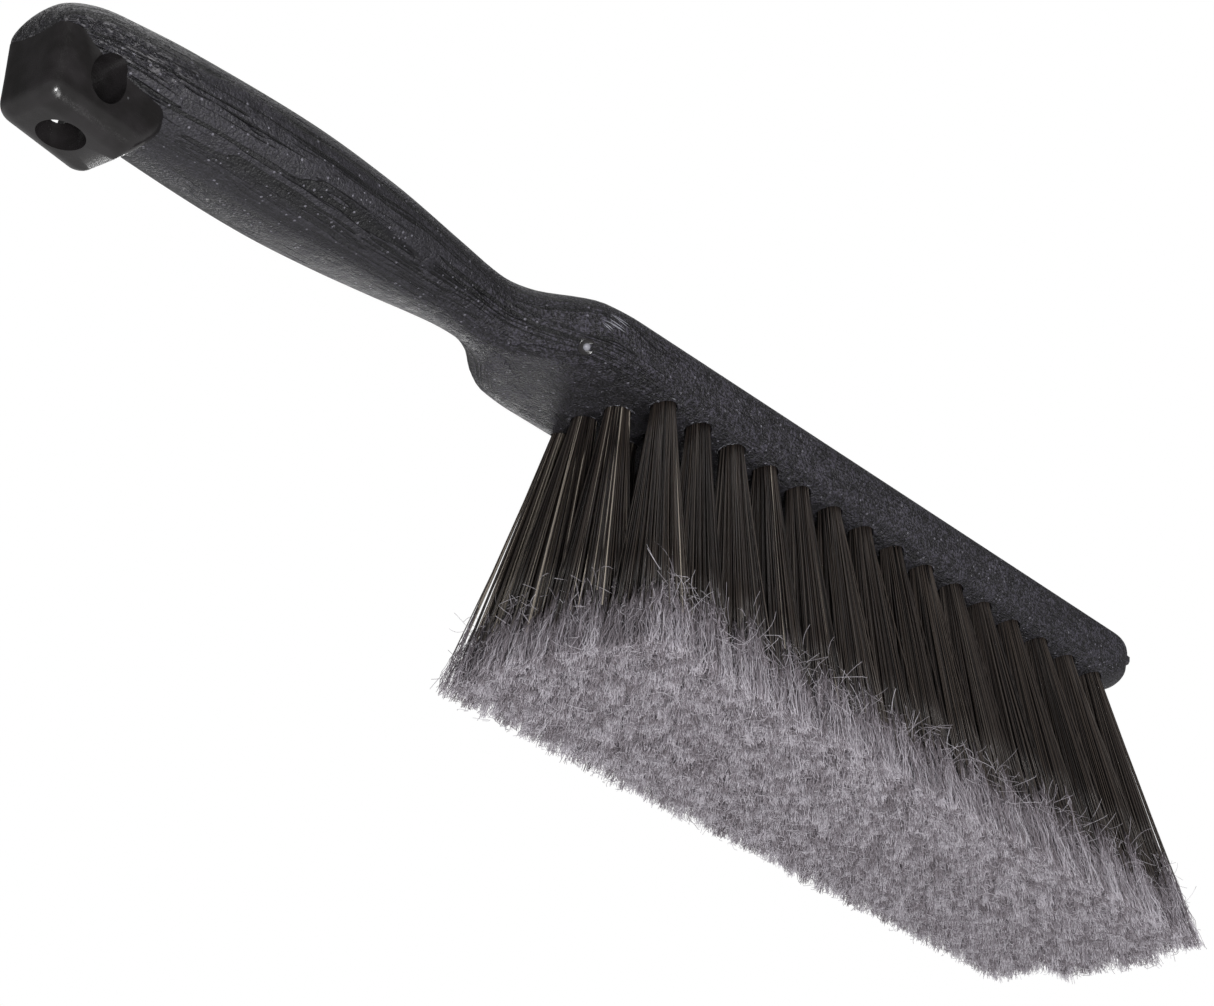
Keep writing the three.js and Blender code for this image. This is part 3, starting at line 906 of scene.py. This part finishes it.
def fibril_paths(place, shafts):
    """The frayed ends: fine crimped strands from each filament's end down to the trim, drawn into clumps."""
    count = len(shafts) * FIBRILS
    start = np.repeat(shafts[:, -1], FIBRILS, 0)
    way = np.repeat(shafts[:, -1] - shafts[:, -2], FIBRILS, 0)
    way /= -way[:, 2:3]
    clump = place["tip"][:2] + rng.uniform(-CLUMP_REACH, CLUMP_REACH, (CLUMPS, 2)) * place["half"]
    clump_trim = rng.uniform(0, CLUMP_TRIM, CLUMPS)
    foot = start[:, :2] + way[:, :2] * start[:, 2:] + rng.normal(0, FOOT_SPREAD, (count, 2))
    nearest = np.linalg.norm(foot[:, None] - clump[None], axis=2).argmin(1)
    foot += (clump[nearest] - foot) * rng.uniform(*CLUMP_PULL, (count, 1))
    short = rng.random(count) < SHORT_FIBRILS
    end = np.abs(rng.normal(0, TRIM_SPREAD, count)) + clump_trim[nearest]
    end = np.where(short, start[:, 2] * rng.uniform(0.25, 0.9, count), end)
    t = np.linspace(0, 1, FIBRIL_POINTS)[None, :, None]
    run = ((start[:, 2] - end) / start[:, 2])[:, None, None]
    path = np.empty((count, FIBRIL_POINTS, 3))
    path[..., :2] = start[:, None, :2] + (foot - start[:, :2])[:, None] * run * t
    path[..., 2:] = start[:, None, 2:] * (1 - run * t)
    waves = rng.uniform(*CRIMP_TURNS, (count, 1, 3)) * t + rng.uniform(0, 2 * math.pi, (count, 1, 3))
    crimp = rng.uniform(*CRIMP, (count, 1, 1)) * np.array([1.0, 1.0, 0.5])
    path += crimp * np.sin(waves) * np.minimum(t * 3, 1)
    path = kept_in(path)
    tone = rng.integers(-1, 2, CLUMPS)[nearest] + short
    return path, tone


def curl_paths(place, side, band, lengths, curl):
    """Curly strands that start at places across the tuft, in a band of heights, and point every way."""
    count = len(side)
    level = rng.uniform(*band, count)
    share = (1 - level / UNDERSIDE)[:, None]
    start = place["tip"][:2] * share + place["root"][:2] * (1 - share) + side * place["half"] * share
    way = rng.normal(0, 1, (count, 3)) * [1, 0.6, 0.9]
    way /= np.linalg.norm(way, axis=1, keepdims=True)
    bend = np.cross(way, rng.normal(0, 1, (count, 3)))
    length = rng.uniform(*lengths, (count, 1, 1))
    t = np.linspace(0, 1, CURL_POINTS)[None, :, None]
    path = np.concatenate([start, level[:, None]], 1)[:, None] + length * way[:, None] * t
    path += length * curl * bend[:, None] * np.sin(t * rng.uniform(1, 3.2, (count, 1, 1)))
    return kept_in(path)


def outer_side(place, count):
    """Places along the tuft's side that faces out of the brush, or towards the handle in a first tuft."""
    side = rng.uniform(-1, 1, (count, 2))
    if place["first"]:
        side[:, 0] = -1
    else:
        side[:, 1] = place["outward"]
    return side


COMMON_TINTS = np.array([0.30, 0.36, 0.25, 0.087, 0.003])
LIT_TINTS = np.array([-0.18, -0.18, -0.04, 0.10, 0.30])  # what light through the tuft adds to those
LIT_FOR = 12.0  # how soon along the block that light fades


def tint_shares(place):
    """How common each filament tint is: paler where light comes through at the block's near end."""
    lit = math.exp(-max(place["root"][0] - FIRST_TUFT, 0) / LIT_FOR)
    lit *= 0.12 + 0.88 * (0.5 + place["root"][1] / (3 * ROW_SPACING)) ** 2
    shares = COMMON_TINTS + lit * LIT_TINTS
    return shares / shares.sum()


def joined(groups):
    """Points, quads, end triangles and slots of several groups of strands as one mesh's."""
    points, quads, ends, quad_slots, end_slots, offset = [], [], [], [], [], 0
    for paths, radii, slots in groups:
        if not len(paths):
            continue
        p, q, e = tubes(paths, radii)
        points.append(p)
        quads.append(q + offset)
        ends.append(e + offset)
        offset += len(p)
        segments = paths.shape[1] - 1
        slots = np.broadcast_to(slots, (len(paths), segments))
        quad_slots.append(np.repeat(slots.ravel(), STRAND_SIDES))
        end_slots += [slots[:, 0], slots[:, -1]]
    return np.vstack(points), np.vstack(quads), np.vstack(ends), np.concatenate([*quad_slots, *end_slots])


FRAY_TONES = [0.08, 0.24, 0.38, 0.30]  # how common each of the frayed tints is
FRAY_PALES = np.array([0, 1, 2, 3, 3, 3])  # the palest tint that each step of a fibril may have
FRAY_RADII = FIBRIL_RADIUS * np.array([0.9, 0.85, 0.95, 1.05, 1.05, 1.0, 0.85])


def make_tuft(place):
    """The piece that stands for one tuft: its filaments, their frayed ends, and the curls among them."""
    shafts = shaft_paths(place)
    tints = rng.choice(len(SHAFTS), FILAMENTS, p=tint_shares(place))
    if place["last"]:
        tints[:STRAYS] = len(SHAFTS) - 1
    frayed, tone = fibril_paths(place, shafts)
    tone = tone + rng.choice(len(FRAYS), len(frayed), p=FRAY_TONES)
    fray_slots = np.clip(np.minimum(tone[:, None], FRAY_PALES), 0, len(FRAYS) - 1) + len(SHAFTS)
    fluff = curl_paths(place, rng.uniform(-1, 1, (FLUFF, 2)), **FLUFF_SHAPE)
    tip_curls = curl_paths(place, rng.uniform(-1, 1, (TIP_CURLS, 2)), **TIP_CURL_SHAPE)
    frizz_count = FRIZZ if place["outward"] or place["first"] else 0
    lengths = FRIZZ_LENGTHS["row_end" if place["first"] or place["last"] else "along_row"]
    frizz = curl_paths(place, outer_side(place, frizz_count), lengths=lengths, **FRIZZ_SHAPE)
    pale = len(STRANDS) - 1
    groups = [
        (shafts, FILAMENT_RADIUS, tints[:, None]),
        (frayed, FRAY_RADII, fray_slots),
        (fluff, FIBRIL_RADIUS * 0.9, rng.integers(pale - 2, pale + 1, (FLUFF, 1))),
        (tip_curls, FIBRIL_RADIUS * 0.8, rng.integers(pale - 2, pale + 1, (TIP_CURLS, 1))),
        (frizz, FIBRIL_RADIUS * 0.7, rng.integers(pale - 1, pale + 1, (frizz_count, 1))),
    ]
    points, quads, ends, slots = joined(groups)
    piece = mesh_object(place["node"].replace("tuft", "filaments"), points, quads, ends, STRANDS, slots)
    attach(piece, "root")
    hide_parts(place["node"])


# ---- Stage ----


def make_floor():
    """A pale floor under the tips. It shows from above only, so that the brush can be seen from below."""
    material, tree, shader = new_material("floor")
    mottle = noise(tree, own_place(tree), scale=4.0)
    tree.links.new(blend_colours(tree, mottle, *FLOOR_TONES), shader.inputs["Base Color"])
    shader.inputs["Roughness"].default_value = 0.7
    shader.inputs["Emission Color"].default_value = WHITE
    shader.inputs["Emission Strength"].default_value = FLOOR_GLOW
    clear = add_node(tree, "ShaderNodeBsdfTransparent").outputs[0]
    below = add_node(tree, "ShaderNodeNewGeometry").outputs["Backfacing"]
    mixed = add_node(tree, "ShaderNodeMixShader", {0: below, 1: shader.outputs[0], 2: clear}).outputs[0]
    output = next(n for n in tree.nodes if n.type == "OUTPUT_MATERIAL")
    tree.links.new(mixed, output.inputs["Surface"])
    corners = [(a * FLOOR_HALF, b * FLOOR_HALF, 0) for a, b in ((-1, -1), (1, -1), (1, 1), (-1, 1))]
    floor = mesh_object("floor", corners, [(0, 1, 2, 3)], materials=[material])
    floor.location.z = -FLOOR_DROP
    floor.visible_shadow = False
    floor.visible_diffuse = False
    floor.visible_glossy = False
    floor.visible_transmission = False


def area_light(name, place, power, size):
    """A soft square light that faces the brush."""
    data = bpy.data.lights.new(name, "AREA")
    data.energy = power
    data.size = size
    light = bpy.data.objects.new(name, data)
    light.location = place
    light.rotation_euler = (Vector(LIGHTS_FACE) - Vector(place)).to_track_quat("-Z", "Y").to_euler()
    light.visible_camera = False
    bpy.context.collection.objects.link(light)


def make_world():
    """White where the camera sees it, and a dimmer light on the brush, most of it from below."""
    world = bpy.data.worlds.new("studio")
    bpy.context.scene.world = world
    world.use_nodes = True
    tree = world.node_tree
    background = next(n for n in tree.nodes if n.type == "BACKGROUND")
    seen = add_node(tree, "ShaderNodeLightPath").outputs["Is Camera Ray"]
    towards = add_node(tree, "ShaderNodeTexCoord").outputs["Generated"]
    height = add_node(tree, "ShaderNodeSeparateXYZ", {0: towards}).outputs[2]
    below, above = WORLD_STRENGTH["below"], WORLD_STRENGTH["above"]
    lit = remap(tree, height, 0.0, WORLD_STRENGTH["fades_by"], below, above, smooth=True)
    background.inputs["Color"].default_value = WHITE
    tree.links.new(maths(tree, "MAXIMUM", seen, lit), background.inputs["Strength"])


bpy.context.scene.view_settings.view_transform = "Standard"
make_world()
make_floor()
for light in LIGHTS:
    area_light(*light)

places = tuft_places()
body = make_body(places)
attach(body, "root")
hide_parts("block_handle")
# the burrs piece holds the slivers, the scratches and the mould mark's painted highlight
burrs = make_burrs_and_highlight(body, places)
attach(burrs, "root")
for place in places:
    make_tuft(place)
